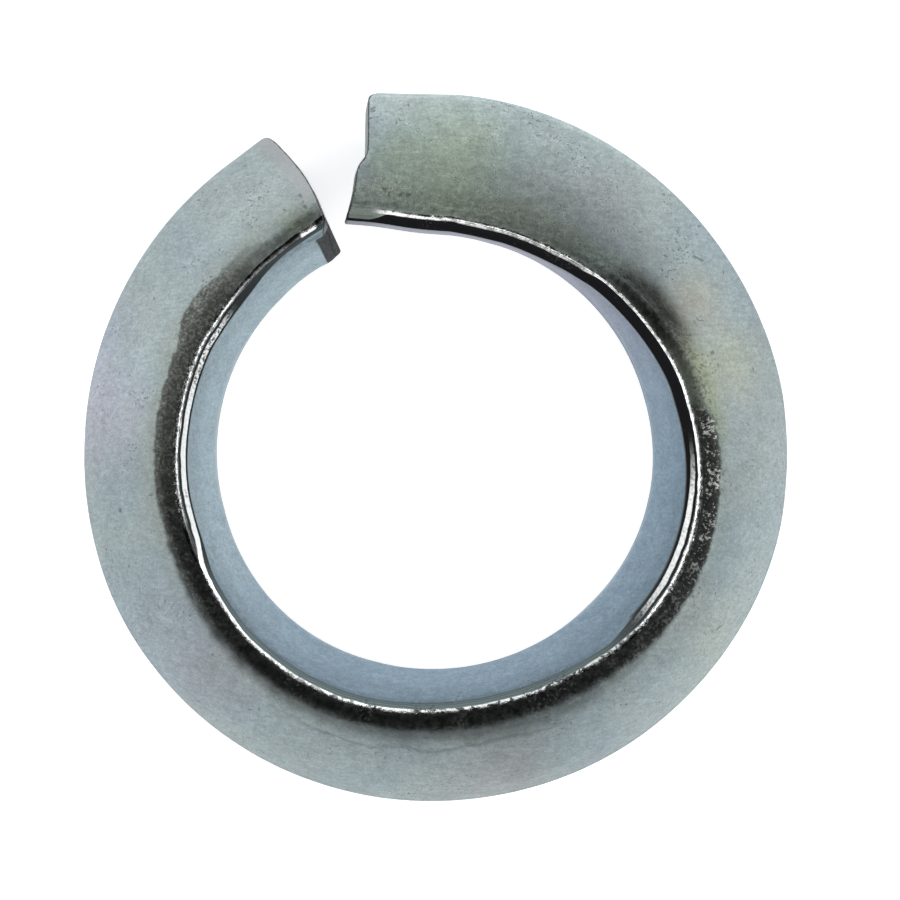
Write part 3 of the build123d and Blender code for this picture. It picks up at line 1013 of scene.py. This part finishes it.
        # Painted dark reflection parts the line in two
        seam = self.ramp(self.math("ABSOLUTE", self.minus(self.wavy, DARK_GAP_FACING)), *DARK_GAP_WIDTH)
        broken = self.times(broken, self.rest(self.times(seam, self.round_the_ring(PARTED))))
        dash = self.times(self.between(self.reach, *DASH_LEAD), self.at_fixed_end)
        broken = self.larger(broken, dash)

        start = self.round_the_ring(INNER_START)
        end = self.round_the_ring(INNER_END)
        inner_line = self.between(self.wavy, (start, self.plus(start, 2)), (self.plus(end, 1.5), end))
        inner_line = self.times(inner_line, self.round_the_ring(INNER_LEVEL))
        worn = self.mixed(self.round_the_ring(INNER_BROKEN), 1.0, self.ramp(self.speck, 0.36, 0.56))

        bright = self.larger(self.times(outer_line, broken), self.times(inner_line, worn))
        self.shine = self.times(
            self.larger(outer_line, inner_line), self.ramp(self.place, *CREST_ENDS), self.rest(self.dying))
        # Painted highlights: the lines are near-white, with painted dark reflection in their gaps
        highlight_silver = self.blend(bright, LINE_GAPS_DARK_REFLECTION, self.blend(inner_line, OUTER_HIGHLIGHT_SILVER, INNER_HIGHLIGHT_SILVER))
        return self.blend(self.shine, tone, highlight_silver)

    def bare(self):
        """Where the metal is made non-metallic: painted shade on the lip and in the dent, and painted glints on the
        scales and grains of the smoky band.
        """
        lip = self.times(self.lip, self.black, self.rest(self.shine))
        grains = self.times(self.graininess, self.ramp(self.facing, *CHALK_GLINT_FACING))
        # Painted glints: the scales and grains lose their metal so that diffuse light brightens them
        chalky_glints = self.times(self.larger(self.scales, grains), self.smoke_and_reflection, self.line(self.shine, -0.6, 0.6))
        return self.larger(self.larger(lip, chalky_glints), self.times(self.ramp(self.dent, *DENT_SEEN), 0.7))

    def cut(self, tone):
        """The cut ends: torn grey metal, a dark rim, a rubbed strip beside the fixed one, and painted shade in the
        blade's dent.
        """
        rubbed = self.times(
            self.ramp(self.reach, *RUBBED_LEAD), self.ramp(self.place, *RUBBED_ZONE), self.at_fixed_end)
        tone = self.blend(self.times(rubbed, 0.6), tone, RUBBED_GREY)
        tone = self.blend(self.times(self.sheared, 0.8), tone, TORN_GREY)
        # Painted shade: the dent is dark grey
        dent_shade = self.blend(self.ramp(self.grain, 0.3, 0.7), *DENT_SHADE_GREY)
        tone = self.blend(self.ramp(self.dent, *DENT_SEEN), tone, dent_shade)
        rim = self.ramp(self.stirred(self.reach, self.grain, 0.04), *RIM_LEAD)
        rim = self.times(rim, self.ramp(self.sheared, *RIM_FADE))
        return self.blend(self.times(rim, 0.85), tone, RIM_BLACK)

    def pitted(self, tone):
        """Pits, alone and in clusters, and nicks."""
        marks = self.specks(0.8, 0.085, 0.5, ((0.3, 0.2, 0.5), (1, 0.45, 1)))
        self.pits = self.times(
            self.ramp(self.noise(0.15, 1), 0.57, 0.7), self.ramp(self.noise(1.8, 1), 0.53, 0.64, 0.0, 0.9))
        marks = self.times(self.larger(marks, self.pits), self.ramp(self.place, *PITTED_ZONE))
        for centre, length, width, turn in NICKS:
            marks = self.larger(marks, self.nick(centre, length, width, turn, self.grain))
        return self.blend(self.times(marks, 0.52), tone, PIT_BLACK)

    def dullness(self):
        rough = self.line(self.wall, -0.08, self.ramp(self.grain, 0.2, 0.8, 0.50, 0.60))
        rough = self.mixed(self.smoke_and_reflection, rough, self.ramp(self.grain, 0.3, 0.7, 0.30, 0.5))
        rough = self.mixed(self.shine, rough, self.ramp(self.grain, 0.3, 0.7, 0.10, 0.24))
        return self.mixed(self.lip, rough, 0.55)

    def relief(self):
        """Fine grain, coarser on the smoky band, and the pits, in millimetres."""
        coarse = self.times(self.ramp(self.from_top, *COARSE_REACH), self.ramp(self.facing, *COARSE_FACING))
        height = self.times(self.minus(self.grain, 0.5), self.line(coarse, 0.02, 0.01))
        height = self.stirred(height, self.powder, 0.005)
        bump = self.node("ShaderNodeBump")
        bump.inputs["Strength"].default_value = 1
        bump.inputs["Distance"].default_value = MM
        self.feed(bump.inputs["Height"], self.line(self.pits, -0.02, height))
        return bump.outputs[0]

    def mix(self):
        tone = self.plate()
        tone = self.smoked_and_reflecting(tone)
        tone = self.lipped(tone)
        tone = self.bright_lines(tone)
        tone = self.cut(tone)
        tone = self.pitted(tone)
        sockets = self.shader.inputs
        self.feed(sockets["Base Color"], tone)
        self.feed(sockets["Metallic"], self.rest(self.bare()))
        self.feed(sockets["Roughness"], self.dullness())
        self.feed(sockets["Normal"], self.relief())
        sockets["Specular IOR Level"].default_value = 0.0
        return self.material


# ---------------------------------------------------------------- floor, light and camera

# The tent's light at heights from the horizon (0) to overhead (1): a bright ring, dim below and above it
TENT_LIGHT = (0.34, 0.22), (0.41, 2.75), (0.69, 2.75), (0.73, 0.15)
TENT_HORIZON = 0.22, 0.23, 0.24, 1
TENT_TOP_FROM = 0.79
TENT_TOP = 0.03, 0.03, 0.032, 1
WHITE = 1, 1, 1, 1

# In metres
FLOOR_SIZE = 1.2
FLOOR_LEVEL = -0.00002
CAMERA_PLACE = 0.00085, 0.00011, 0.15305
CAMERA_NEAR = 0.01
# In millimetres
CAMERA_LENS = 116.3
CAMERA_SENSOR = 36

PAPER = 0.9, 0.91, 0.92, 1
PAPER_DULLNESS = 0.9
PAPER_LIFT = 0.55


def light_tent():
    world = bpy.data.worlds.new("tent")
    bpy.context.scene.world = world
    world.use_nodes = True
    world.node_tree.nodes.clear()
    tree = Nodes(world.node_tree)
    direction = tree.node("ShaderNodeTexCoord").outputs["Generated"]
    height = tree.fed(tree.node("ShaderNodeSeparateXYZ"), direction).outputs["Z"]
    ramp = tree.fed(tree.node("ShaderNodeValToRGB"), height)
    steps = ramp.color_ramp.elements
    steps[0].position, steps[0].color = 0.0, TENT_HORIZON
    steps[1].position, steps[1].color = TENT_TOP_FROM, TENT_TOP
    for position, level in TENT_LIGHT:
        steps.new(position).color = level, level * 1.01, level * 1.02, 1
    light = tree.fed(tree.node("ShaderNodeBackground"), ramp.outputs[0])
    backdrop = tree.fed(tree.node("ShaderNodeBackground"), WHITE)
    seen = tree.node("ShaderNodeLightPath").outputs["Is Camera Ray"]
    either = tree.fed(tree.node("ShaderNodeMixShader"), seen, light.outputs[0], backdrop.outputs[0])
    tree.fed(tree.node("ShaderNodeOutputWorld"), either.outputs[0])


def paper_floor():
    bpy.ops.mesh.primitive_plane_add(size=FLOOR_SIZE, location=(0, 0, FLOOR_LEVEL))
    floor = bpy.context.object
    floor.name = "floor"
    paper = bpy.data.materials.new("white_paper")
    paper.use_nodes = True
    tree = Nodes(paper.node_tree)
    shader = tree.nodes["Principled BSDF"]
    shader.inputs["Base Color"].default_value = PAPER
    shader.inputs["Roughness"].default_value = PAPER_DULLNESS
    shader.inputs["Specular IOR Level"].default_value = 0.0
    # Lifted to white where the camera or the metal sees it
    path = tree.node("ShaderNodeLightPath")
    seen = tree.larger(path.outputs["Is Camera Ray"], path.outputs["Is Glossy Ray"])
    glow = tree.node("ShaderNodeEmission")
    tree.feed(glow.inputs["Strength"], tree.times(seen, PAPER_LIFT))
    both = tree.fed(tree.node("ShaderNodeAddShader"), shader.outputs[0], glow.outputs[0])
    tree.feed(tree.nodes["Material Output"].inputs["Surface"], both.outputs[0])
    floor.data.materials.append(paper)


def overhead_camera():
    lens = bpy.data.cameras.new("camera")
    lens.lens = CAMERA_LENS
    lens.sensor_width = CAMERA_SENSOR
    lens.clip_start = CAMERA_NEAR
    camera = bpy.data.objects.new("camera", lens)
    camera.location = CAMERA_PLACE
    bpy.context.scene.collection.objects.link(camera)
    bpy.context.scene.camera = camera
    bpy.context.scene.view_settings.view_transform = "Standard"


washer = coiled_washer(ZincPlate().mix())
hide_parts("washer")
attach(washer, "root")
light_tent()
paper_floor()
overhead_camera()
